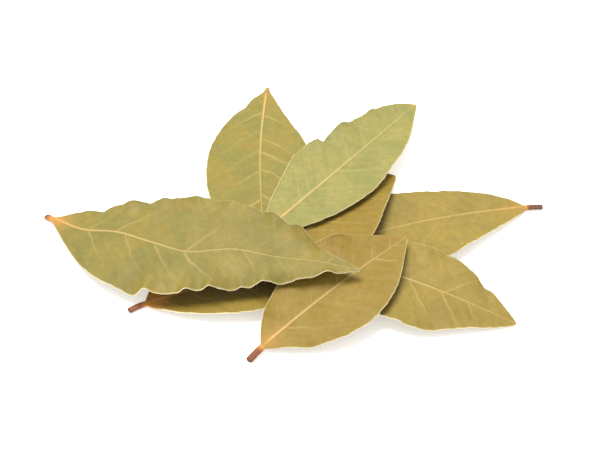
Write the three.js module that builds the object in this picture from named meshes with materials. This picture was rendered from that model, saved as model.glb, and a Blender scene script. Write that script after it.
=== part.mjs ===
// A pile of eight loose dried bay leaves, in millimetres, +Z up, lying on the plane z = 0.
//
// Every leaf grew as one piece - blade, midrib and stalk - so every leaf is one closed mesh.
// The leaves lie on one another without being joined. A leaf is drawn in its own frame: the
// blade starts at the origin, its tip points to +X, its upper face to +Z and its left margin
// to +Y. Each leaf is then turned, tipped and put down on the ones below it.

import * as THREE from 'three';
import { LoftGeometry } from 'three/addons/geometries/LoftGeometry.js';

// --- what all the leaves share -------------------------------------------------------------

const BLADE_THICKNESS = 0.34;
const MARGIN_THINNING = 0.45;        // how much of that thickness the margin has lost
const RIB_RADIUS = { base: 0.75, tip: 0.35 };       // half-width of the midrib
const RIB_ABOVE = { base: 0.32, tip: 0.14 };        // how far it stands above the blade
const RIB_BELOW = { base: 0.62, tip: 0.20 };        // how far it stands below the blade
const STALK_RADIUS = 0.8;
const TIP_HALF_WIDTH = 0.3;          // the very tip is blunt, not a knife edge
const END_ROUNDING = 0.7;            // of a blade's ends: 0.5 makes an ellipse, 1 a wedge
const FLEX_START = 0.06;             // the blade is stiff and flat up to this part of its length
const CURL_POWER = 2.2;              // margins curl late, close to the edge
const CRIMP_POWER = 2.5;             // and so do the crimps

// Places across a blade where the surface is drawn, from the midrib (0) to the margin (1).
const ACROSS = [0, 0.07, 0.3, 0.6, 0.88, 1];
const STALK_STATIONS = [-1, -0.66, -0.33];          // in stalk lengths before the blade
const BLADE_STATIONS = 34;

// --- the leaves, from the bottom of the pile to the top ------------------------------------
//
// at            where the blade starts (x, y, z)
// turn          heading of the leaf, pitch its tip up, roll its left margin up (degrees)
// length        of the blade, and stalk, the length of the stalk
// bow, sway,    sideways bends of the midrib, with a half, one and two waves along the blade
//   weave
// stray         how far the midrib strays to the left of the middle of the blade, at equal
//               steps from the base to the tip
// arch          how far the middle of the midrib is lifted
// stalkBend     how far the free end of the stalk bends sideways
// left, right   half-widths at six equal steps from the base to the tip, before the two
//               ends are rounded off
// baseRounding  rounding of the base, where it isn't the usual one
// lift          slope of each half of the blade, left then right (rise over run)
// curl          how far each margin is curled up, left then right
// leftCrimps,   crimps along a margin: [place along the blade, spread, rise of the edge]
//   rightCrimps

const LEAVES = [
  {
    name: 'leaf_tucked',
    color: 0xa8894a, at: [-39.7, -35.5, 0.95], turn: 17.5, pitch: -0.5, roll: -4,
    length: 60, stalk: 5, bow: 0.5, arch: 1, stalkBend: -0.9,
    left: [16, 15, 14.5, 14, 13.5, 13.5],
    right: [13, 14, 15, 15.5, 15.5, 15.5],
    lift: [0.15, 0.12],
  },
  {
    name: 'leaf_right_back',
    color: 0xbfa85f, at: [66.4, 1.5, 1], turn: 197.5, pitch: 1.2, roll: 4,
    length: 66, stalk: 5, bow: -2.4, arch: 0.5, stalkBend: 0.5,
    left: [10.5, 12.5, 16.5, 18.5, 19, 19],
    right: [11.5, 11.5, 12, 13, 13.5, 14],
    lift: [0.08, 0.08],
    leftCrimps: [[0.34, 0.05, 0.7]],
    rightCrimps: [[0.34, 0.05, -0.2], [0.55, 0.05, 0.6]],
  },
  {
    name: 'leaf_right_front',
    color: 0xc5a862, at: [10.3, -22.7, 6], turn: -22, pitch: -6, roll: 4,
    length: 53, stalk: 5, bow: 0.8, arch: 1,
    left: [13.5, 13, 12.5, 12, 9.5, 6.5],
    right: [15.5, 15.5, 15.5, 14.5, 11, 8.5],
    lift: [0.08, 0.08],
    leftCrimps: [[0.55, 0.05, -0.7], [0.78, 0.04, -1.4]],
    rightCrimps: [[0.45, 0.05, 0.8], [0.62, 0.05, -0.7], [0.8, 0.05, 0.4]],
  },
  {
    name: 'leaf_back',
    color: 0xbbab62, at: [-8.8, 53.6, 1], turn: -89.5, pitch: 2, roll: 4,
    length: 68, stalk: 2, bow: -1.5, arch: 1.5, stalkBend: 0.2,
    left: [6.5, 9, 13, 15.5, 16, 17],
    right: [9, 12, 14.5, 16, 18, 19],
    lift: [0.1, 0.1],
    leftCrimps: [[0.16, 0.04, -0.2], [0.3, 0.05, -0.3]],
    rightCrimps: [[0.13, 0.04, -0.9]],
  },
  {
    name: 'leaf_under_pale',
    color: 0xa68c40, at: [-11.6, -27.4, 6.65], turn: 43, pitch: -2.2, roll: -1.2,
    length: 56, stalk: 4, arch: 1,
    left: [13, 13, 13.5, 13.5, 13.5, 14],
    right: [17, 16.5, 16, 14, 10, 7],
    lift: [0.05, 0.05],
  },
  {
    name: 'leaf_front',
    color: 0xbd9f5a, at: [-7.9, -51.2, 1.9], turn: 40, pitch: 8.3, roll: 3,
    length: 51, stalk: 5.5, bow: 0.5, arch: 0.8, stalkBend: -0.5,
    left: [11.5, 11.5, 12.5, 13.5, 11, 7.5],
    right: [10.5, 14, 15, 14.5, 12.5, 8],
    lift: [0.21, 0.08],
    leftCrimps: [[0.14, 0.05, 0.9], [0.3, 0.05, -0.3], [0.7, 0.05, 1.7]],
    rightCrimps: [[0.17, 0.05, -1.3], [0.4, 0.05, 0.2], [0.6, 0.05, 0.3], [0.78, 0.05, -0.3]],
  },
  {
    name: 'leaf_pale',
    color: 0xc2b871, at: [-7.3, -14.9, 8.35], turn: 52, pitch: -2.5, roll: 3,
    length: 72, stalk: 5, bow: -0.6, arch: 1,
    left: [11, 11.5, 13, 11, 11.5, 14.5],
    right: [14, 13.5, 13, 11.5, 10, 6.5],
    lift: [0.06, 0.06],
    leftCrimps: [[0.365, 0.03, 0.6], [0.49, 0.035, 1], [0.55, 0.02, -1.7], [0.645, 0.04, 2.1],
      [0.82, 0.03, 0.8]],
    rightCrimps: [[0.45, 0.04, -0.6], [0.6, 0.04, 0.7], [0.8, 0.04, -0.2]],
  },
  {
    name: 'leaf_long_wavy',
    color: 0xafa062, at: [-68.7, -3.8, 1.4], turn: -18.5, pitch: 6, roll: 4,
    length: 91.5, stalk: 2.7, bow: -5, sway: -1.1, weave: 0.5, arch: 4, stalkBend: 0.7,
    stray: [0, -1.2, 1.3, 0.3, -1.9, 0.1, -0.3, 0.8, 0],
    left: [16.5, 18, 18, 15, 11.5, 5],
    right: [22, 20.5, 17.5, 12.5, 8, 3],
    baseRounding: 0.95,
    lift: [0.08, -0.02],
    curl: [0, -1],
    leftCrimps: [[0.132, 0.02, -1.4], [0.229, 0.03, 1.6], [0.282, 0.02, -0.5],
      [0.335, 0.025, 0.8], [0.479, 0.035, 0.8], [0.59, 0.025, 1.3], [0.648, 0.02, 1],
      [0.716, 0.03, 1.9], [0.807, 0.03, 2.9], [0.87, 0.02, -1.6]],
    rightCrimps: [[0.373, 0.03, -1.9], [0.412, 0.018, 2.4], [0.52, 0.018, 1.6],
      [0.582, 0.018, 1.5], [0.648, 0.03, -1.7], [0.701, 0.02, -1.3], [0.74, 0.018, 0.9],
      [0.793, 0.025, -1.4], [0.908, 0.02, 1.7]],
    bladeStations: 60,               // close enough to draw its crimps
  },
];

// --- small helpers -------------------------------------------------------------------------

const clamp01 = (t) => Math.min(Math.max(t, 0), 1);
const blend = (range, t) => range.base + (range.tip - range.base) * t;

// A smooth curve through equally spaced values, read at t from 0 to 1 (Catmull-Rom).
function smoothValue(values, t) {
  const last = values.length - 1;
  const place = t * last;
  const i = Math.min(Math.floor(place), last - 1);
  const f = place - i;
  const [a, b, c, d] = [i - 1, i, i + 1, i + 2]
    .map((k) => values[Math.min(Math.max(k, 0), last)]);
  return 0.5 * (2 * b + (c - a) * f + (2 * a - 5 * b + 4 * c - d) * f ** 2
    + (3 * b - a - 3 * c + d) * f ** 3);
}

// Sum of the crimps of one margin at u: each is a bell of its own spread and rise.
function crimpRise(crimps, u) {
  return crimps.reduce((sum, [at, spread, rise]) =>
    sum + rise * Math.exp(-(((u - at) / spread) ** 2)), 0);
}

// --- one leaf ------------------------------------------------------------------------------

// Stations along a leaf: the stalk's, then the blade's, closer together towards its two ends.
function stations(leaf) {
  const count = leaf.bladeStations ?? BLADE_STATIONS;
  const blade = Array.from({ length: count + 1 }, (_, i) => {
    const t = i / count;
    return 0.5 * t + 0.25 * (1 - Math.cos(Math.PI * t));
  });
  return [...STALK_STATIONS.map((s) => (s * leaf.stalk) / leaf.length), ...blade];
}

// The midrib at u (0 at the base, 1 at the tip, negative on the stalk): its place and its
// direction in plan. On the stalk it runs straight on from the base and bends to one side.
function midrib(leaf, u) {
  const { length, stalk, arch, bow = 0, sway = 0, weave = 0, stalkBend = 0 } = leaf;
  const t = clamp01(u);
  const stray = smoothValue(leaf.stray ?? [0, 0], t);
  const before = Math.min(u, 0) * length;
  const slope = (Math.PI / length) * (bow * Math.cos(Math.PI * t)
    + 2 * sway * Math.cos(2 * Math.PI * t) + 4 * weave * Math.cos(4 * Math.PI * t));
  const climb = (Math.PI / length) * arch * Math.cos(Math.PI * t);
  return {
    x: length * u,
    y: bow * Math.sin(Math.PI * t) + sway * Math.sin(2 * Math.PI * t)
      + weave * Math.sin(4 * Math.PI * t) + stray + before * slope
      + stalkBend * (before / stalk) ** 2,
    z: arch * Math.sin(Math.PI * t) + before * climb,
    slope: slope + (2 * stalkBend * before) / stalk ** 2,
    stray,
  };
}

// One point of the leaf's skin. across runs from 1 at the left margin to -1 at the right one;
// side is +1 for the upper face and -1 for the lower.
function skinPoint(leaf, u, across, side) {
  const rib = midrib(leaf, u);
  const t = clamp01(u);
  const isLeft = across >= 0;
  const hand = isLeft ? 1 : -1;
  const out = Math.abs(across);
  const lift = leaf.lift[isLeft ? 0 : 1];
  const curl = (leaf.curl ?? [0, 0])[isLeft ? 0 : 1];
  const crimps = (isLeft ? leaf.leftCrimps : leaf.rightCrimps) ?? [];

  // Half-width: the blade's own, eased into the stalk at one end and the tip at the other.
  const fullness = (2 * t) ** (leaf.baseRounding ?? END_ROUNDING)
    * (2 * (1 - t)) ** END_ROUNDING;
  const bladeHalf = smoothValue(isLeft ? leaf.left : leaf.right, t) * fullness
    - hand * rib.stray;
  const half = Math.hypot(bladeHalf, STALK_RADIUS * (1 - t), TIP_HALF_WIDTH);
  const away = out * half;

  // Height of the middle of the leaf above its midrib.
  const flex = clamp01(u / FLEX_START);
  const rise = flex * (lift * away + curl * fullness * out ** CURL_POWER
    + crimpRise(crimps, u) * out ** CRIMP_POWER);

  // Half the thickness on this side: thin at the margin, thick along the midrib.
  const nearRib = Math.exp(-((away / blend(RIB_RADIUS, t)) ** 2));
  const ribHeight = blend(side > 0 ? RIB_ABOVE : RIB_BELOW, t) * nearRib;
  const skin = (BLADE_THICKNESS / 2) * (1 - MARGIN_THINNING * out ** 6) + ribHeight;

  const stretch = Math.hypot(1, rib.slope);
  return new THREE.Vector3(
    rib.x - (hand * away * rib.slope) / stretch,
    rib.y + (hand * away) / stretch,
    rib.z + rise + side * skin,
  );
}

// A leaf is a loft from the cut end of the stalk to the tip. Each section runs from the left
// margin over the upper face to the right margin and back along the lower face.
function leafGeometry(leaf) {
  const fromLeft = [...ACROSS].reverse().concat(ACROSS.slice(1).map((v) => -v));
  const fromRight = [...fromLeft].reverse();
  const sections = stations(leaf).map((u) => [
    ...fromLeft.map((v) => skinPoint(leaf, u, v, 1)),
    ...fromRight.map((v) => skinPoint(leaf, u, v, -1)),
  ]);
  return new LoftGeometry(sections, { capStart: true, capEnd: true });
}

function leafMesh(leaf) {
  const dried = new THREE.MeshStandardMaterial({
    color: leaf.color, roughness: 0.75, metalness: 0,
  });
  const mesh = new THREE.Mesh(leafGeometry(leaf), dried);
  mesh.name = leaf.name;
  mesh.position.set(...leaf.at);
  mesh.rotation.set(
    THREE.MathUtils.degToRad(leaf.roll),
    THREE.MathUtils.degToRad(-leaf.pitch),
    THREE.MathUtils.degToRad(leaf.turn),
    'ZYX',
  );
  return mesh;
}

const pile = new THREE.Group();
for (const leaf of LEAVES) pile.add(leafMesh(leaf));

export default pile;
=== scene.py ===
"""A pile of loose dried bay leaves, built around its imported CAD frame.

Each leaf is one closed skin worked out on a grid: along the leaf from the cut end of the stalk
to the tip, and around it from the left margin over the upper face to the right margin and
back underneath. Sizes below are in millimetres; the meshes are in metres.
"""

import math

import bpy
import numpy as np
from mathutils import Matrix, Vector


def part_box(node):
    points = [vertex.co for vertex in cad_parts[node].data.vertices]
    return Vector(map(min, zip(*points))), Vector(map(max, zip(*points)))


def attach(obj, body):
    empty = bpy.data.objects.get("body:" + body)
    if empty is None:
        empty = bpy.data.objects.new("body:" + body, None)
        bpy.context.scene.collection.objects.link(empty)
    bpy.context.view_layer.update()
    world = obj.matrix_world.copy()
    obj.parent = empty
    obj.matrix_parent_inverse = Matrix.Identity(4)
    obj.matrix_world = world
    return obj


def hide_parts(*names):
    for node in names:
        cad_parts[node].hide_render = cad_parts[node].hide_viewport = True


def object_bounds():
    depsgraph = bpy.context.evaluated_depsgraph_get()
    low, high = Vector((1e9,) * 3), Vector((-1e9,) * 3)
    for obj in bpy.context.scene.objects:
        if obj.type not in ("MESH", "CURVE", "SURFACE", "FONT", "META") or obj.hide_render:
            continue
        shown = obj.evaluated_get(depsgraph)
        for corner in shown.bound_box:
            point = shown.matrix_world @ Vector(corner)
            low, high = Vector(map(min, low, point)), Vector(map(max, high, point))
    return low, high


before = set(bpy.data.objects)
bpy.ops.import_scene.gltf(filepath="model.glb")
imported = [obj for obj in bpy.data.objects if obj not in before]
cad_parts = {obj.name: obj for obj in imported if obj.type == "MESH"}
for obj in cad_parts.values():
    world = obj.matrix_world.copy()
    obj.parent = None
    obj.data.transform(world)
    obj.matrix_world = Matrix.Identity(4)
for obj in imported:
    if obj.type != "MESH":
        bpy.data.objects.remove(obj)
CAD_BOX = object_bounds()

bl_info = {
    "name": "Dried Bay Leaves",
    "version": (1, 0, 0),
    "blender": (4, 5, 0),
    "location": "View3D > Sidebar > Bay Leaves",
    "description": "Builds a pile of dried bay leaves and its studio stage",
    "category": "Add Mesh",
}

MM = 0.001

# --- the leaves ---------------------------------------------------------------------------
#
# A leaf is drawn in its own frame: the blade starts at the origin, the tip points to +X, the
# upper face to +Z and the left margin to +Y. Where the leaf lies comes from its CAD node.
#
# turn, pitch, roll    heading, tip up and left margin up, in degrees
# length, stalk        of the blade and of the stalk
# bow, sway, weave     sideways bends of the midrib: a half, one and two waves
# stray                how far the midrib strays to the left of the middle of the blade, at
#                      equal steps from the base to the tip
# arch                 how far the middle of the midrib is lifted
# stalk_bend           how far the free end of the stalk bends sideways
# left, right          half-widths at equal steps from base to tip, before the ends are rounded
# base_rounding        rounding of the base, where it isn't the usual one
# lift, curl           slope of each half of the blade, and curl of its margin: left, right
# *_crimps             crimps along a margin: place along the blade, spread, rise of the edge
# torn_end             width left at the end of the stalk, of 1, and length of its taper
# slot                 the material slot it takes its finish from
# veining, ribbing     how strongly its side veins and its midrib show, of 1
# browning_and_shade   how far its blade has turned brown; on leaf_under_pale and leaf_tucked
#                      it is partly painted shade from the leaves lying over them
# stain, tip_stain     how much orange has spread from the stalk into the blade, and at the tip
# stalk_stain          how orange its stalk is where it hasn't browned
# stalk_tan            how brown its stalk is
# stalk_dark           how much darker the stalk gets with each mm away from the blade
# seed                 starts the leaf's own veins, nicks and small waves

LEAVES = {
    "leaf_tucked": dict(
        # Its browning is partly painted shade, from leaf_long_wavy lying over it.
        slot="dried_leaf_olive", veining=0.45, browning_and_shade=0.8, stain=2.4,
        stalk_tan=1.5, stalk_dark=0.05,
        turn=17.5, pitch=-0.5, roll=-4, length=60, stalk=5, bow=0.5, arch=1, stalk_bend=-0.9,
        left=[16, 15, 14.5, 14, 13.5, 13.5], right=[13, 14, 15, 15.5, 15.5, 15.5],
        lift=(0.15, 0.12), seed=11,
    ),
    "leaf_right_back": dict(
        slot="dried_leaf_ochre", veining=0.2, ribbing=0.55, browning_and_shade=0.0, stain=0.3,
        stalk_tan=3, stalk_dark=0.7,
        turn=197.5, pitch=1.2, roll=4, length=66, stalk=5, bow=-2.4, arch=0.5, stalk_bend=0.5,
        left=[10.5, 12.5, 16.5, 18.5, 19, 19], right=[11.5, 11.5, 12, 13, 13.5, 14],
        lift=(0.08, 0.08), left_crimps=[(0.34, 0.05, 0.7)],
        right_crimps=[(0.34, 0.05, -0.2), (0.55, 0.05, 0.6)], seed=12,
    ),
    "leaf_right_front": dict(
        slot="dried_leaf_ochre", veining=0.3, browning_and_shade=0.1, stain=0.2,
        turn=-22, pitch=-6, roll=4, length=53, stalk=5, bow=0.8, arch=1,
        left=[13.5, 13, 12.5, 12, 9.5, 6.5], right=[15.5, 15.5, 15.5, 14.5, 11, 8.5],
        lift=(0.08, 0.08), left_crimps=[(0.55, 0.05, -0.7), (0.78, 0.04, -1.4)],
        right_crimps=[(0.45, 0.05, 0.8), (0.62, 0.05, -0.7), (0.8, 0.05, 0.4)], seed=13,
    ),
    "leaf_back": dict(
        slot="dried_leaf_olive", veining=0.5, browning_and_shade=0.05, stain=0.2,
        stalk_stain=0.5, stalk_tan=0.2, torn_end=(0.3, 2.5),
        turn=-89.5, pitch=2, roll=4, length=68, stalk=2, bow=-1.5, arch=1.5, stalk_bend=0.2,
        left=[6.5, 9, 13, 15.5, 16, 17], right=[9, 12, 14.5, 16, 18, 19],
        lift=(0.1, 0.1), left_crimps=[(0.16, 0.04, -0.2), (0.3, 0.05, -0.3)],
        right_crimps=[(0.13, 0.04, -0.9)], seed=14,
    ),
    "leaf_under_pale": dict(
        # Its browning is partly painted shade, from leaf_pale lying over it.
        slot="dried_leaf_ochre", veining=0.35, browning_and_shade=0.8, stain=0.3,
        turn=43, pitch=-2.2, roll=-1.2, length=56, stalk=4, arch=1,
        left=[13, 13, 13.5, 13.5, 13.5, 14], right=[17, 16.5, 16, 14, 10, 7],
        lift=(0.05, 0.05), seed=15,
    ),
    "leaf_front": dict(
        slot="dried_leaf_ochre", veining=0.3, browning_and_shade=0.75, stain=0.5,
        stalk_tan=1.4, stalk_dark=0.09,
        turn=40, pitch=8.3, roll=3, length=51, stalk=5.5, bow=0.5, arch=0.8, stalk_bend=-0.5,
        left=[11.5, 11.5, 12.5, 13.5, 11, 7.5], right=[10.5, 14, 15, 14.5, 12.5, 8],
        lift=(0.21, 0.08),
        left_crimps=[(0.14, 0.05, 0.9), (0.3, 0.05, -0.3), (0.7, 0.05, 1.7)],
        right_crimps=[(0.17, 0.05, -1.3), (0.4, 0.05, 0.2), (0.6, 0.05, 0.3),
                      (0.78, 0.05, -0.3)], seed=16,
    ),
    "leaf_pale": dict(
        slot="dried_leaf_pale_green", veining=0.25, browning_and_shade=0.0, stain=0.1, tip_stain=0.3,
        turn=52, pitch=-2.5, roll=3, length=72, stalk=5, bow=-0.6, arch=1,
        left=[11, 11.5, 13, 11, 11.5, 14.5], right=[14, 13.5, 13, 11.5, 10, 6.5],
        lift=(0.06, 0.06),
        left_crimps=[(0.365, 0.03, 0.6), (0.49, 0.035, 1), (0.55, 0.02, -1.7),
                     (0.645, 0.04, 2.1), (0.82, 0.03, 0.8)],
        right_crimps=[(0.45, 0.04, -0.6), (0.6, 0.04, 0.7), (0.8, 0.04, -0.2)], seed=17,
    ),
    "leaf_long_wavy": dict(
        slot="dried_leaf_grey_green", veining=0.45, ribbing=0.68, browning_and_shade=0.1, stain=0.9,
        stalk_tan=0.9, stalk_dark=0.16,
        turn=-18.5, pitch=6, roll=4, length=91.5, stalk=2.7, bow=-5, sway=-1.1, weave=0.5,
        arch=4, stalk_bend=0.7, stray=[0, -1.2, 1.3, 0.3, -1.9, 0.1, -0.3, 0.8, 0],
        left=[16.5, 18, 18, 15, 11.5, 5], right=[22, 20.5, 17.5, 12.5, 8, 3],
        base_rounding=0.95, lift=(0.08, -0.02), curl=(0, -1),
        left_crimps=[(0.132, 0.02, -1.4), (0.229, 0.03, 1.6), (0.282, 0.02, -0.5),
                     (0.335, 0.025, 0.8), (0.479, 0.035, 0.8), (0.59, 0.025, 1.3),
                     (0.648, 0.02, 1), (0.716, 0.03, 1.9), (0.807, 0.03, 2.9),
                     (0.87, 0.02, -1.6)],
        right_crimps=[(0.373, 0.03, -1.9), (0.412, 0.018, 2.4), (0.52, 0.018, 1.6),
                      (0.582, 0.018, 1.5), (0.648, 0.03, -1.7), (0.701, 0.02, -1.3),
                      (0.74, 0.018, 0.9), (0.793, 0.025, -1.4), (0.908, 0.02, 1.7)], seed=18,
    ),
}

# What a leaf has where it isn't given above.
USUAL = dict(
    bow=0, sway=0, weave=0, stray=[0, 0], stalk_bend=0, base_rounding=0.7, curl=(0, 0),
    left_crimps=[], right_crimps=[], torn_end=(0.75, 0.35),
    ribbing=0.8, tip_stain=0.1, stalk_stain=1, stalk_tan=1, stalk_dark=0,
)

# What all the leaves share, as in the CAD. A pair is for the base and for the tip.
MARGIN_THINNING = 0.45       # how much of the blade's thickness is lost at the margin
RIB_RADIUS = (0.75, 0.35)    # of the midrib, across
RIB_ABOVE = (0.32, 0.14)     # how far it stands out of the upper face
RIB_BELOW = (0.62, 0.20)     # and of the lower face
TIP_HALF_WIDTH = 0.3
TIP_ROUNDING = 0.7           # power of the distance from the tip; less is rounder
FLEX_START = 0.06            # share of the blade over which its bends come in
CURL_POWER = 2.2             # how the margin's curl grows with how far out a point is
CRIMP_POWER = 2.5            # and its crimps

# What only the fine skin has. First, its grid.
STATIONS = 360               # along a leaf
END_CROWDING = 0.2           # how much closer they are at the two ends
COLUMNS = 91                 # across each face; odd, so that one runs along the midrib
CROWDING = 0.5               # how much closer they are at the midrib and at the margins
FIT_TOLERANCE = 0.8          # a leaf's box may differ this much from its CAD node's

# Small waves, as their wavelengths.
LEFT_NICKS = (7.1, 3.3, 1.9)
RIGHT_NICKS = (6.3, 3.7, 2.1)
WRINKLES = (11.0, 6.1, 4.3)
WRINKLE_LEAN = (1.3, 0.8)    # how fast they pass along the blade and across it
VEIN_WAVES = (12.0, 6.7)

# Side veins.
VEIN_LEAN = math.radians(52)  # between a side vein and the midrib
VEIN_ARC = 0.018             # how much it bends on towards the tip, per mm of blade crossed
VEIN_WOBBLE = 0.22           # how far it strays from that arc
VEIN_WOBBLE_START = 3        # where the straying is at its full, from the midrib
VEIN_SPACING = 8.0           # mean step between side veins along the midrib
VEIN_SPACING_RANGE = (0.5, 1.5)  # shortest and longest such step, of the mean
VEINS_LAID = 1.6             # length of midrib that gets veins, of the blade's own
VEINS_BEFORE_BASE = 0.6      # and how much of it lies before the base
VEIN_STRENGTHS = (0.1, 1)    # least and most
FAINTNESS = 1.5              # power of the strength, which leaves most veins faint
VEIN_RADIUS = 0.4            # of the ridge over a side vein
VEIN_LINE = 0.26             # and of the pale line along it
VEIN_FADE = 0.65             # where the line has faded, of the way to the margin
VEIN_PALENESS = 0.9          # how much of its own colour the strongest side vein shows
QUILT_START = 4              # where the bulge between veins is at its full, from the midrib

# Margin.
MARGIN_BAND = 0.16           # width of the pale rim on a face
MARGIN_BEAD = 0.13           # how much the rim is thicker than the blade, on each face
BEAD_RADIUS = 0.3            # how far that thickening reaches into the blade
MARGIN_BULGE = 0.18          # how far the rounded rim stands out
UPPER_RIM = 0.12             # how much of the rim's paleness reaches the upper face

# Stains and other colours.
STAIN_REACH = 5.0            # how far the stalk's orange runs into the blade
STAIN_WIDTH = 3.0            # and to each side of the midrib
RIB_STAIN_REACH = 14.0       # and along the midrib
TIP_STAIN_REACH = 1.5        # how far the tip has browned
RIB_NARROWING = 6            # how much narrower the midrib's colour is than its ridge, a power
RIB_FADING = (1.0, 0.3)      # how much of it shows at the base and at the tip
RUST_MOST = 0.25             # rust's share of the colour in a blotch at the margin
RUST_START = 0.3             # where blotches start, of the way to the margin
RUST_SPREAD = 0.5            # and how soon they are at their full
UNDER_PALENESS = 0.55        # share of the underside's own colour on the lower face
TAN_START = 0.4              # where the stalk starts to brown, from the blade
TAN_SPREAD = 2.0             # and how soon it has browned
CUT_REACH = 1.0              # how far the cut end's dark colour runs up the stalk
FINISH_PARTS = ("browning_and_shade", "rust", "under", "vein", "stain", "rib", "rib_stain", "rim",
                "stalk", "cut")


# --- shape --------------------------------------------------------------------------------

def smooth_values(values, t):
    """A smooth curve (Catmull-Rom) through equally spaced values, read at t from 0 to 1."""
    values = np.asarray(values, float)
    last = len(values) - 1
    place = np.clip(t, 0, 1) * last
    i = np.minimum(place.astype(int), last - 1)
    f = place - i
    a, b, c, d = (values[np.clip(i + step, 0, last)] for step in (-1, 0, 1, 2))
    return 0.5 * (2 * b + (c - a) * f + (2 * a - 5 * b + 4 * c - d) * f**2
                  + (3 * b - a - 3 * c + d) * f**3)


def bells(crimps, u):
    """The sum of bell curves, one for each crimp, at its place, with its spread and rise."""
    return sum((rise * np.exp(-(((u - at) / spread) ** 2)) for at, spread, rise in crimps),
               np.zeros_like(u))


def ripple(rng, x, wavelengths):
    """A repeatable uneven wave of about unit height: equal sines with random phases."""
    waves = [np.sin(2 * np.pi * x / w + rng.uniform(0, 2 * np.pi)) for w in wavelengths]
    return sum(waves) / math.sqrt(len(waves))


def between(pair, t):
    """The value at t from 0 to 1 on the straight line from the pair's first to its second."""
    return pair[0] + (pair[1] - pair[0]) * t


def crowded(t):
    """Places from 0 to 1 that crowd at both ends: t less a full sine wave."""
    return t - CROWDING * np.sin(2 * np.pi * t) / (2 * np.pi)


def midrib_curve(leaf, u):
    """Place and plan slope of the midrib at u, where 0 is the blade's base and 1 its tip, and
    how far it strays from the middle of the blade.

    Sideways it is bow, sway and weave times a half, one and two sine waves, and the smooth
    curve of its strays; upwards it is arch times a half wave. On the stalk (u below 0) it
    runs straight on from the base, and a square law bends it to one side.
    """
    length, stalk, arch = leaf["length"], leaf["stalk"], leaf["arch"]
    bow, sway, weave, bend = (leaf[key] for key in ("bow", "sway", "weave", "stalk_bend"))
    angle = np.pi * np.clip(u, 0, 1)
    before = np.minimum(u, 0) * length
    slope = np.pi / length * (bow * np.cos(angle) + 2 * sway * np.cos(2 * angle)
                              + 4 * weave * np.cos(4 * angle))
    climb = np.pi / length * arch * np.cos(angle)
    stray = smooth_values(leaf["stray"], u)
    y = (bow * np.sin(angle) + sway * np.sin(2 * angle) + weave * np.sin(4 * angle)
         + stray + before * slope + bend * (before / stalk) ** 2)
    z = arch * np.sin(angle) + before * climb
    return length * u, y, z, slope + 2 * bend * before / stalk**2, stray


def side_veins(leaf, rng, x, away, is_left):
    """Nearness to the side veins (the ridge, then the thinner line), bulge of the blade
    between them, and the flow coordinate, which stays the same along a vein.

    A vein leaves the midrib at a flow coordinate q, leans forward by the cotangent of its
    angle and arcs on with the square of the distance: x = q + cot(angle) d + arc d^2. A small
    uneven wave makes it wander. The ridge and the line are bell curves of the distance from
    the nearest vein, and the bulge is a squared sine wave from one vein to the next.
    """
    flow = x - away / math.tan(VEIN_LEAN) - VEIN_ARC * away**2
    ridge, line, bulge = np.zeros_like(x), np.zeros_like(x), np.zeros_like(x)
    for on_side in (is_left, ~is_left):
        wobble = (VEIN_WOBBLE * ripple(rng, x + 0.7 * away, VEIN_WAVES)
                  * np.minimum(away / VEIN_WOBBLE_START, 1))
        place = flow + wobble
        count = int(VEINS_LAID * leaf["length"] / VEIN_SPACING)
        starts = np.cumsum(VEIN_SPACING * rng.uniform(*VEIN_SPACING_RANGE, count))
        starts -= VEINS_BEFORE_BASE * leaf["length"]
        strength = rng.uniform(*VEIN_STRENGTHS, count) ** FAINTNESS
        k = np.clip(np.searchsorted(starts, place), 1, count - 1)
        low, high = starts[k - 1], starts[k]
        is_low = place - low < high - place
        gap = np.where(is_low, place - low, high - place) * math.sin(VEIN_LEAN)
        own = np.where(is_low, strength[k - 1], strength[k])
        ridge = np.where(on_side, own * np.exp(-((gap / VEIN_RADIUS) ** 2)), ridge)
        line = np.where(on_side, own * np.exp(-((gap / VEIN_LINE) ** 2)), line)
        share = np.clip((place - low) / (high - low), 0, 1)
        bulge = np.where(on_side, np.sin(np.pi * share) ** 2, bulge)
    return ridge, line, bulge, flow


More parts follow.
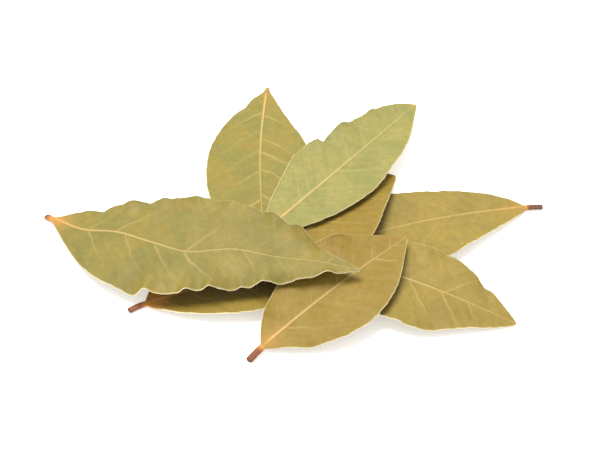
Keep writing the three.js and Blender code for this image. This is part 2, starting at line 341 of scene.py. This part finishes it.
def leaf_skin(leaf, shape):
    """Points of a leaf's skin and what its finish reads, on a grid of stations by ring places.

    The half-width is the smooth outline times the rounding of the two ends, eased into the
    stalk and the blunt tip. The middle surface stands above the midrib by the lift times the
    distance from it, plus the margin's curl and crimps, which grow with a power of how far
    out a point is. The faces lie half a thickness above and below it, with the midrib and the
    side veins standing out and the blade bulging up a little between two veins. A last ring
    place on each margin, between the two faces, rounds the rim. What the finish reads are
    amounts from 0 to 1, which fade as bell curves or straight lines from where they start.
    """
    rng = np.random.default_rng(leaf["seed"])
    length, stalk = leaf["length"], leaf["stalk"]
    t = np.linspace(0, 1, STATIONS)
    spread = (1 - END_CROWDING) * t + END_CROWDING * (1 - np.cos(np.pi * t)) / 2
    u_line = -stalk / length + (1 + stalk / length) * spread
    row = np.linspace(1, -1, COLUMNS)
    row = np.sign(row) * crowded(np.abs(row))
    ring = np.concatenate([row, [-1], row[::-1], [1]])
    face = np.repeat([1.0, 0.0, -1.0, 0.0], [COLUMNS, 1, COLUMNS, 1])
    u, across = np.meshgrid(u_line, ring, indexing="ij")
    side = np.broadcast_to(face, u.shape)
    inside = np.clip(u, 0, 1)
    is_left = across >= 0
    hand = np.where(is_left, 1.0, -1.0)
    out = np.abs(across)

    x, y, z, slope, stray = midrib_curve(leaf, u)
    fullness = (2 * inside) ** leaf["base_rounding"] * (2 * (1 - inside)) ** TIP_ROUNDING
    outline = np.where(is_left, smooth_values(leaf["left"], inside),
                       smooth_values(leaf["right"], inside))
    nicks = shape.margin_nicks / MM * np.where(
        is_left, ripple(rng, x, LEFT_NICKS), ripple(rng, x, RIGHT_NICKS))
    on_blade = np.clip(u / FLEX_START, 0, 1)
    half = np.sqrt(((outline + nicks) * fullness - hand * stray) ** 2
                   + (shape.stalk_radius / MM * (1 - inside)) ** 2 + TIP_HALF_WIDTH**2)
    end_width, end_length = leaf["torn_end"]
    cut_end = between((end_width, 1), np.sqrt(np.clip((x + stalk) / end_length, 0, 1)))
    half = half * cut_end + MARGIN_BULGE * (side == 0)
    away = out * half

    lift = np.where(is_left, *leaf["lift"])
    curl = np.where(is_left, *leaf["curl"])
    crimp = np.where(is_left, bells(leaf["left_crimps"], u), bells(leaf["right_crimps"], u))
    along_wrinkles = WRINKLE_LEAN[0] * x + hand * WRINKLE_LEAN[1] * away
    wrinkle = shape.wrinkle / MM * ripple(rng, along_wrinkles, WRINKLES)
    ridge, line, bulge, flow = side_veins(leaf, rng, x, away, is_left)
    fade = on_blade * np.clip(1.3 - out**3, 0, 1) * np.clip(3 * fullness, 0, 1)
    quilt = shape.quilting / MM * bulge * fade * np.minimum(away / QUILT_START, 1)
    rise = quilt + on_blade * (lift * away + curl * fullness * out**CURL_POWER
                               + crimp * out**CRIMP_POWER + wrinkle * out)

    near_rib = np.exp(-((away / between(RIB_RADIUS, inside)) ** 2))
    ribs = np.where(side > 0, between(RIB_ABOVE, inside), between(RIB_BELOW, inside))
    off_rib = fade * (1 - near_rib)
    inwards = (1 - out) * half
    bead = MARGIN_BEAD * np.exp(-((inwards / BEAD_RADIUS) ** 2)) * on_blade
    flat = shape.blade_thickness / MM / 2 * (1 - MARGIN_THINNING * out**6)
    side_ribs = shape.vein_relief / MM * ridge * off_rib
    skin = (flat + ribs * near_rib + bead + side_ribs) * cut_end

    stretch = np.hypot(1, slope)
    points = np.stack([x - hand * away * slope / stretch, y + hand * away / stretch,
                       z + rise + side * skin], axis=-1)
    past_base, before_tip = np.maximum(x, 0), length - x
    base_stain = leaf["stain"] * np.exp(-((past_base / STAIN_REACH) ** 2) - away / STAIN_WIDTH)
    tip_stain = leaf["tip_stain"] * np.exp(-((before_tip / TIP_STAIN_REACH) ** 2))
    blade_stain = np.minimum(base_stain + tip_stain, 1)
    seen_line = leaf["veining"] * line * off_rib * np.exp(-((out / VEIN_FADE) ** 2))
    seen_rib = leaf["ribbing"] * near_rib**RIB_NARROWING * on_blade
    rim = np.exp(-((inwards / MARGIN_BAND) ** 2)) * on_blade
    tanned = leaf["stalk_tan"] * np.clip((-x - TAN_START) / TAN_SPREAD, 0, 1)
    darkened = np.maximum(1 - (x + stalk) / CUT_REACH, -x * leaf["stalk_dark"])
    finish = {
        # Browning, partly painted shade on leaf_under_pale and leaf_tucked.
        "browning_and_shade": np.full(u.shape, float(leaf["browning_and_shade"])),
        "rust": RUST_MOST * np.clip((out - RUST_START) / RUST_SPREAD, 0, 1),
        "under": UNDER_PALENESS * np.clip(0.5 - side, 0, 1),
        "vein": VEIN_PALENESS * seen_line,
        "stain": np.where(x < 0, leaf["stalk_stain"], blade_stain),
        "rib": seen_rib * between(RIB_FADING, inside),
        "rib_stain": np.exp(-((past_base / RIB_STAIN_REACH) ** 2)),
        "rim": np.where(side > 0, UPPER_RIM, 1) * rim,
        "stalk": np.minimum(tanned, 1),
        "cut": np.clip(darkened, 0, 1),
    }
    maps = {
        "plan": np.stack([x, hand * away], axis=-1),
        "flow": np.stack([flow, hand * away / math.sin(VEIN_LEAN)], axis=-1),
    }
    return points, finish, maps


def turned(points, leaf):
    """Points rolled about the leaf's own length, pitched tip up, then turned to its heading."""
    turn, pitch, roll = (math.radians(leaf[k]) for k in ("turn", "pitch", "roll"))
    about_x = np.array([[1, 0, 0], [0, math.cos(roll), -math.sin(roll)],
                        [0, math.sin(roll), math.cos(roll)]])
    about_y = np.array([[math.cos(pitch), 0, -math.sin(pitch)], [0, 1, 0],
                        [math.sin(pitch), 0, math.cos(pitch)]])
    about_z = np.array([[math.cos(turn), -math.sin(turn), 0],
                        [math.sin(turn), math.cos(turn), 0], [0, 0, 1]])
    return points @ (about_z @ about_y @ about_x).T


def laid_on(node, points):
    """Points, in metres, moved so that their box has the centre of the CAD node's box."""
    low, high = (np.array(corner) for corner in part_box(node))
    size_error = np.abs(np.ptp(points, axis=0) - (high - low)).max()
    if size_error > FIT_TOLERANCE * MM:
        raise RuntimeError(f"{node} is {size_error / MM:.2f} mm off its CAD node's size")
    return points + (low + high) / 2 - (points.min(axis=0) + points.max(axis=0)) / 2


def ring_faces(rows, columns):
    """Quads of a closed ring of columns carried over rows, and one face for each end."""
    i, j = np.meshgrid(np.arange(rows - 1), np.arange(columns), indexing="ij")
    here, beside = i * columns + j, i * columns + (j + 1) % columns
    quads = np.stack([here, beside, beside + columns, here + columns], axis=-1)
    start = list(range(columns - 1, -1, -1))
    end = list(range((rows - 1) * columns, rows * columns))
    return quads.reshape(-1, 4), start, end


def leaf_object(node, leaf, shape):
    """The leaf as a mesh object, with its finish's attributes, and its maps in metres."""
    points, finish, maps = leaf_skin(leaf, shape)
    rows, columns = points.shape[:2]
    placed = laid_on(node, turned(points.reshape(-1, 3) * MM, leaf))
    quads, start, end = ring_faces(rows, columns)
    mesh = bpy.data.meshes.new(node)
    mesh.from_pydata(placed.tolist(), [], [*quads.tolist(), start, end])
    mesh.shade_smooth()
    for name, values in finish.items():
        layer = mesh.attributes.new(name, "FLOAT", "POINT")
        layer.data.foreach_set("value", values.astype(np.float32).ravel())
    corners = np.zeros(len(mesh.loops), np.int32)
    mesh.loops.foreach_get("vertex_index", corners)
    for name, places in maps.items():
        at_corners = (places.reshape(-1, 2) * MM)[corners]
        layer = mesh.uv_layers.new(name=name)
        layer.uv.foreach_set("vector", at_corners.astype(np.float32).ravel())
    piece = bpy.data.objects.new(node.replace("leaf_", "leaf_skin_", 1), mesh)
    bpy.context.scene.collection.objects.link(piece)
    return piece


# --- finishes -----------------------------------------------------------------------------

def linear(hex_colour):
    """An sRGB colour such as #c0a75c as linear red, green and blue."""
    parts = [int(hex_colour[i:i + 2], 16) / 255 for i in (1, 3, 5)]
    return tuple(c / 12.92 if c <= 0.04045 else ((c + 0.055) / 1.055) ** 2.4 for c in parts)


def put(tree, kind, inputs=None, output=0, **settings):
    """Adds one node and gives back one of its outputs. An input takes a value, or another
    node's output as a link.
    """
    node = tree.nodes.new("ShaderNode" + kind)
    for name, value in settings.items():
        setattr(node, name, value)
    for socket, value in (inputs or {}).items():
        if isinstance(value, bpy.types.NodeSocket):
            tree.links.new(value, node.inputs[socket])
        else:
            node.inputs[socket].default_value = value
    return node.outputs[output] if node.outputs else None


def solid(colour):
    """A colour with full alpha, for a colour socket."""
    return (*colour, 1.0)


LEAF_IOR = 1.45              # cellulose and the wax on it
NET_CELL = 0.9               # mm between the finest veins; really 0.4, drawn coarser to show
NET_LINE = 0.16              # how wide such a vein is drawn, of the net's cell
PATCH_SIZE = 12.0            # mm across a patch that kept another green
STREAK_WIDTH = 1.0           # mm across a streak between two side veins
STREAK_LENGTH = 14.0         # mm along it
SPECK_SIZE = 0.4             # mm across a speck of the leaf's dried cells
BLOTCH_SIZE = 6.0            # mm across a rusty blotch
MOTTLE_SIZE = 2.0            # mm across a mottle
NET_RELIEF = 0.02            # mm that the finest veins stand out
CELL_RELIEF = 0.8            # how much a dried cell stands out, of that
WAX_SHEEN = 0.25             # half that of clean wax
WAX_ROUGHNESS = (0.50, 0.64)  # where much wax is left, and where little is
BARE_ROUGHNESS = 0.3         # what the lower face adds to it
STREAK_SHADES = (0.955, 1.045)  # darkest and lightest, of the blade's own colour
MOTTLE_SHADES = (0.89, 1.11)
SPECK_SHADES = (0.89, 1.11)
NET_SHADES = (1.0, 1.05)
SATIN_GRAIN = 3.0            # mm across the board's satin grain, drawn coarse
SATIN_ROUGHNESS = (0.85, 0.95)
SATIN_SHEEN = 0.2

# Sockets that share a name are picked by number. On a Map Range, 0 is the value, 1 and 2 are
# the range it comes from and 3 and 4 the range it goes to. On a Mix of colours, 0 is the
# amount, 6 and 7 are the colours, and the result is output 2.
MIXED = 2


def dried_leaf(name, fresh, faded, colours):
    """Bay laurel leaf, air-dried flat.

    Drying left the wax on the upper face, so it has a low, uneven sheen over a green that
    faded in patches. The finest veins dried paler than the cells between them, the margin
    dried to a thin pale rim, and tannin turned the stalk red-brown and ran into the base of
    the blade. The lower face has no wax and is paler and duller.
    """
    material = bpy.data.materials.new(name)
    material.use_nodes = True
    tree = material.node_tree
    tree.nodes.clear()

    grown = {part: put(tree, "Attribute", output="Fac", attribute_name=part)
             for part in FINISH_PARTS}
    plan = put(tree, "UVMap", uv_map="plan")
    flow = put(tree, "UVMap", uv_map="flow")
    patches = put(tree, "TexNoise", {
        "Vector": plan, "Scale": 1 / (PATCH_SIZE * MM), "Detail": 3.0, "Roughness": 0.6})
    mottles = put(tree, "TexNoise", {
        "Vector": plan, "Scale": 1 / (MOTTLE_SIZE * MM), "Detail": 3.0, "Roughness": 0.65})
    specks = put(tree, "TexNoise", {
        "Vector": plan, "Scale": 1 / (SPECK_SIZE * MM), "Detail": 2.0, "Roughness": 0.7})
    blotches = put(tree, "TexNoise", {
        "Vector": plan, "Scale": 1 / (BLOTCH_SIZE * MM), "Detail": 4.0, "Distortion": 0.6})
    combed = put(tree, "Mapping", {
        "Vector": flow, "Scale": (1 / (STREAK_WIDTH * MM), 1 / (STREAK_LENGTH * MM), 1.0)})
    streaks = put(tree, "TexNoise", {"Vector": combed, "Scale": 1.0, "Detail": 2.0})
    net = put(tree, "TexVoronoi", {"Vector": plan, "Scale": 1 / (NET_CELL * MM)},
              voronoi_dimensions="2D", feature="DISTANCE_TO_EDGE")
    net_line = put(tree, "MapRange", {0: net, 1: 0.0, 2: NET_LINE, 3: 1.0, 4: 0.0})

    is_faded = put(tree, "MapRange", {0: patches, 1: 0.38, 2: 0.62})
    # Blotches of real browning, plus the leaf's own browning, which on leaf_under_pale and
    # leaf_tucked is partly painted shade.
    brown_and_shade = put(tree, "MapRange", {0: blotches, 1: 0.35, 2: 0.75, 3: -0.15, 4: 0.15})
    brown_and_shade = put(tree, "Math", {0: grown["browning_and_shade"], 1: brown_and_shade}, operation="ADD",
                     use_clamp=True)
    is_rusty = put(tree, "MapRange", {0: blotches, 1: 0.60, 2: 0.72})
    is_rusty = put(tree, "Math", {0: is_rusty, 1: grown["rust"]}, operation="MULTIPLY")
    rib_colour = put(tree, "Mix", {
        0: grown["rib_stain"], 6: solid(colours.vein_colour), 7: solid(colours.rib_stain_colour),
    }, MIXED, data_type="RGBA")
    stalk_fibres = put(tree, "MapRange", {0: specks, 1: 0.3, 2: 0.8, 4: 0.3})
    stalk_colour = put(tree, "Mix", {
        0: stalk_fibres, 6: solid(colours.stalk_colour), 7: solid(colours.stain_colour),
    }, MIXED, data_type="RGBA")

    blade = solid(fresh)
    for amount, colour in ((is_faded, solid(faded)),
                           (brown_and_shade, solid(colours.brown_and_shade_colour))):
        blade = put(tree, "Mix", {0: amount, 6: blade, 7: colour}, MIXED, data_type="RGBA")
    for pattern, (darkest, lightest) in ((streaks, STREAK_SHADES), (mottles, MOTTLE_SHADES),
                                         (specks, SPECK_SHADES), (net_line, NET_SHADES)):
        # Noise keeps mostly between a quarter and three quarters.
        shade = put(tree, "MapRange", {0: pattern, 1: 0.25, 2: 0.75, 3: darkest, 4: lightest})
        blade = put(tree, "VectorMath", {0: blade, 3: shade}, operation="SCALE")
    layers = (
        (is_rusty, solid(colours.rust_colour)),
        (grown["under"], solid(colours.underside_colour)),
        (grown["vein"], solid(colours.vein_colour)),
        (grown["stain"], solid(colours.stain_colour)),
        (grown["rib"], rib_colour),
        (grown["rim"], solid(colours.margin_colour)),
        (grown["stalk"], stalk_colour),
        (grown["cut"], solid(colours.cut_colour)),
    )
    for amount, colour in layers:
        blade = put(tree, "Mix", {0: amount, 6: blade, 7: colour}, MIXED, data_type="RGBA")

    waxy = put(tree, "MapRange", {
        0: patches, 1: 0.3, 2: 0.7, 3: WAX_ROUGHNESS[0], 4: WAX_ROUGHNESS[1]})
    rough = put(tree, "Math", {0: grown["under"], 1: BARE_ROUGHNESS, 2: waxy},
                operation="MULTIPLY_ADD", use_clamp=True)
    cells = put(tree, "Math", {0: specks, 1: CELL_RELIEF, 2: net_line},
                operation="MULTIPLY_ADD")
    relief = put(tree, "Bump", {"Distance": NET_RELIEF * MM, "Height": cells})
    skin = put(tree, "BsdfPrincipled", {
        "Base Color": blade, "Roughness": rough, "IOR": LEAF_IOR,
        "Specular IOR Level": WAX_SHEEN, "Normal": relief})
    put(tree, "OutputMaterial", {"Surface": skin})
    return material


def opal_board(colour, glow):
    """Opal acrylic, cast and satin-finished, lit a little from below.

    The sheet scatters light, so it looks evenly white, and the glow keeps shadows on it pale.
    """
    material = bpy.data.materials.new("opal_acrylic_board")
    material.use_nodes = True
    tree = material.node_tree
    tree.nodes.clear()
    place = put(tree, "TexCoord", output="Object")
    grain = put(tree, "TexNoise", {"Vector": place, "Scale": 1 / (SATIN_GRAIN * MM)})
    rough = put(tree, "MapRange", {0: grain, 3: SATIN_ROUGHNESS[0], 4: SATIN_ROUGHNESS[1]})
    board = put(tree, "BsdfPrincipled", {
        "Base Color": solid(colour), "Roughness": rough, "Specular IOR Level": SATIN_SHEEN,
        "Emission Color": solid(colour), "Emission Strength": glow})
    put(tree, "OutputMaterial", {"Surface": board})
    return material


# --- what a user can change ---------------------------------------------------------------

def length_property(name, description, millimetres):
    """A length shown in the scene's unit."""
    return bpy.props.FloatProperty(name=name, description=description, min=0.0,
                                   default=millimetres * MM, precision=5, unit="LENGTH")


def colour_property(name, description, hex_colour):
    """A colour picked in the sidebar."""
    return bpy.props.FloatVectorProperty(name=name, description=description, size=3,
                                         min=0.0, max=1.0, subtype="COLOR",
                                         default=linear(hex_colour))


class LeafShape(bpy.types.PropertyGroup):
    """Sizes that all the leaves share."""
    blade_thickness: length_property("Blade Thickness", "Thickness of the flat blade", 0.34)
    stalk_radius: length_property("Stalk Radius", "Half the width of the stalk", 0.8)
    vein_relief: length_property("Vein Relief", "How far side veins stand out", 0.05)
    quilting: length_property("Quilting", "Bulge of the blade between two side veins", 0.08)
    wrinkle: length_property("Wrinkle", "Small waves left by drying, at the margin", 0.1)
    margin_nicks: length_property("Margin Nicks", "Unevenness of the outline", 0.06)


class LeafColours(bpy.types.PropertyGroup):
    """Colours of the dried leaves."""
    olive: colour_property("Olive", "Blade of an olive leaf", "#77682b")
    olive_faded: colour_property("Olive Faded", "Patches of an olive leaf", "#6c6630")
    ochre: colour_property("Ochre", "Blade of an ochre leaf", "#7d6a2c")
    ochre_faded: colour_property("Ochre Faded", "Patches of an ochre leaf", "#74642d")
    pale_green: colour_property("Pale Green", "Blade of a pale leaf", "#7d753e")
    pale_green_faded: colour_property("Pale Green Faded", "Patches of it", "#73703d")
    grey_green: colour_property("Grey Green", "Blade of a greyish leaf", "#73652a")
    grey_green_faded: colour_property("Grey Green Faded", "Patches of it", "#655f2c")
    # The brown of dried blades, also used as painted shade on leaf_under_pale and leaf_tucked.
    brown_and_shade_colour: colour_property("Browned", "Blade that has turned brown", "#735d1c")
    vein_colour: colour_property("Veins", "Midrib and side veins", "#b49c66")
    margin_colour: colour_property("Margin", "Thin rim along the margin", "#ddd0a4")
    underside_colour: colour_property("Underside", "Lower face of every leaf", "#8c7a42")
    stain_colour: colour_property("Stain", "Orange of the blade's base", "#ab7735")
    rib_stain_colour: colour_property("Rib Stain", "Orange of the midrib's base", "#be9058")
    rust_colour: colour_property("Rust", "Blotches near the margin", "#926d30")
    stalk_colour: colour_property("Stalk", "Stalk", "#69371f")
    cut_colour: colour_property("Cut End", "End where the stalk broke off", "#5c3a26")


class StageSettings(bpy.types.PropertyGroup):
    """Floor, light and camera."""
    floor_colour: colour_property("Floor", "Colour of the floor", "#f4f4f4")
    floor_glow: bpy.props.FloatProperty(name="Floor Glow", description="Light from below",
                                        default=0.45, min=0.0)
    floor_size: length_property("Floor Size", "Side of the square floor", 6000)
    key_power: bpy.props.FloatProperty(name="Key Light", description="Soft light from above",
                                       default=15.0, min=0.0, unit="POWER")
    sky: bpy.props.FloatProperty(name="Sky", description="Even white light all around",
                                 default=1.0, min=0.0)
    camera_rise: bpy.props.FloatProperty(name="Camera Angle", subtype="ANGLE",
                                         description="How steeply the camera looks down",
                                         default=math.radians(45))
    camera_distance: length_property("Camera Distance", "From the point it looks at", 396.67)
    lens: bpy.props.FloatProperty(name="Lens", description="Focal length", default=85.0,
                                  min=1.0, unit="CAMERA")


# --- operators ----------------------------------------------------------------------------

# The two colours, fresh and faded, of each material slot.
FINISHES = {
    "dried_leaf_olive": ("olive", "olive_faded"),
    "dried_leaf_ochre": ("ochre", "ochre_faded"),
    "dried_leaf_pale_green": ("pale_green", "pale_green_faded"),
    "dried_leaf_grey_green": ("grey_green", "grey_green_faded"),
}


def finish_of(slot, colours):
    """The material of a slot, made the first time that a leaf asks for it."""
    name = slot.replace("dried_leaf", "dried_bay_leaf")
    if name not in bpy.data.materials:
        fresh, faded = (getattr(colours, key) for key in FINISHES[slot])
        dried_leaf(name, fresh, faded, colours)
    return bpy.data.materials[name]


def lay_leaves(context, *nodes):
    """Builds the leaves of these CAD nodes and puts each in its node's place."""
    for node in nodes:
        leaf = USUAL | LEAVES[node]
        piece = leaf_object(node, leaf, context.scene.bay_leaf_shape)
        piece.data.materials.append(finish_of(leaf["slot"], context.scene.bay_leaf_colours))
        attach(piece, "root")
        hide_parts(node)


class BAYLEAF_OT_ground_leaves(bpy.types.Operator):
    """Lays the four leaves that lie on the ground"""
    bl_idname = "bayleaf.ground_leaves"
    bl_label = "Ground Leaves"

    def execute(self, context):
        lay_leaves(context, "leaf_tucked", "leaf_right_back", "leaf_right_front", "leaf_back")
        return {"FINISHED"}


class BAYLEAF_OT_middle_leaves(bpy.types.Operator):
    """Lays the three leaves that lie across the ground leaves"""
    bl_idname = "bayleaf.middle_leaves"
    bl_label = "Middle Leaves"

    def execute(self, context):
        lay_leaves(context, "leaf_under_pale", "leaf_front", "leaf_pale")
        return {"FINISHED"}


class BAYLEAF_OT_top_leaf(bpy.types.Operator):
    """Lays the long wavy leaf on top"""
    bl_idname = "bayleaf.top_leaf"
    bl_label = "Top Leaf"

    def execute(self, context):
        lay_leaves(context, "leaf_long_wavy")
        return {"FINISHED"}


# The camera looks along +Y and down at a point near the middle of the pile. In millimetres.
AIM_FROM_CENTRE = (1.7, -9.8, -2.75)
NEAREST_SEEN = 10
KEY_DISTANCE = 900
KEY_SIZE = 600
KEY_DIRECTION = (-0.18, 0.14, 1.0)   # towards the light, from the pile


class BAYLEAF_OT_stage(bpy.types.Operator):
    """Adds the floor, the light and the camera"""
    bl_idname = "bayleaf.stage"
    bl_label = "Stage"

    def execute(self, context):
        stage = context.scene.bay_leaf_stage
        low, high = (Vector(corner) for corner in CAD_BOX)
        centre = (low + high) / 2
        half = stage.floor_size / 2
        board = bpy.data.meshes.new("floor")
        board.from_pydata([(-half, -half, low.z), (half, -half, low.z), (half, half, low.z),
                           (-half, half, low.z)], [], [(0, 1, 2, 3)])
        floor = bpy.data.objects.new("floor", board)
        floor.data.materials.append(opal_board(stage.floor_colour, stage.floor_glow))
        context.scene.collection.objects.link(floor)

        world = bpy.data.worlds.new("light_tent")
        world.use_nodes = True
        sky = world.node_tree.nodes["Background"].inputs
        sky["Color"].default_value = (1, 1, 1, 1)
        sky["Strength"].default_value = stage.sky
        context.scene.world = world

        softbox = bpy.data.lights.new("softbox", "AREA")
        softbox.shape = "DISK"
        softbox.size = KEY_SIZE * MM
        softbox.energy = stage.key_power
        key = bpy.data.objects.new("softbox", softbox)
        towards = Vector(KEY_DIRECTION).normalized()
        key.location = centre + towards * KEY_DISTANCE * MM
        key.rotation_euler = towards.to_track_quat("Z", "Y").to_euler()
        context.scene.collection.objects.link(key)

        view = bpy.data.cameras.new("camera")
        view.lens = stage.lens
        view.clip_start = NEAREST_SEEN * MM
        camera = bpy.data.objects.new("camera", view)
        back = Vector((0, -math.cos(stage.camera_rise), math.sin(stage.camera_rise)))
        camera.location = centre + Vector(AIM_FROM_CENTRE) * MM + back * stage.camera_distance
        camera.rotation_euler = back.to_track_quat("Z", "Y").to_euler()
        context.scene.collection.objects.link(camera)
        context.scene.camera = camera
        context.scene.view_settings.view_transform = "Standard"
        return {"FINISHED"}


OPERATORS = (BAYLEAF_OT_stage, BAYLEAF_OT_ground_leaves, BAYLEAF_OT_middle_leaves,
             BAYLEAF_OT_top_leaf)


class BAYLEAF_PT_sidebar(bpy.types.Panel):
    """Sizes, colours and the steps that build the pile"""
    bl_idname = "BAYLEAF_PT_sidebar"
    bl_label = "Bay Leaves"
    bl_space_type = "VIEW_3D"
    bl_region_type = "UI"
    bl_category = "Bay Leaves"

    def draw(self, context):
        for settings in (context.scene.bay_leaf_shape, context.scene.bay_leaf_colours,
                         context.scene.bay_leaf_stage):
            box = self.layout.box()
            for name in settings.__annotations__:
                box.prop(settings, name)
        for step in OPERATORS:
            self.layout.operator(step.bl_idname)


SETTINGS = {
    "bay_leaf_shape": LeafShape,
    "bay_leaf_colours": LeafColours,
    "bay_leaf_stage": StageSettings,
}


def register():
    """Registers the classes and gives each scene its settings."""
    for made in (*SETTINGS.values(), *OPERATORS, BAYLEAF_PT_sidebar):
        bpy.utils.register_class(made)
    for name, settings in SETTINGS.items():
        setattr(bpy.types.Scene, name, bpy.props.PointerProperty(type=settings))


def unregister():
    """Takes back what register did, in the opposite order."""
    for name in SETTINGS:
        delattr(bpy.types.Scene, name)
    for made in (BAYLEAF_PT_sidebar, *OPERATORS, *SETTINGS.values()):
        bpy.utils.unregister_class(made)


def main():
    """Builds the stage and the pile."""
    register()
    bpy.ops.bayleaf.stage()
    bpy.ops.bayleaf.ground_leaves()
    bpy.ops.bayleaf.middle_leaves()
    bpy.ops.bayleaf.top_leaf()


if __name__ == "__main__":
    main()
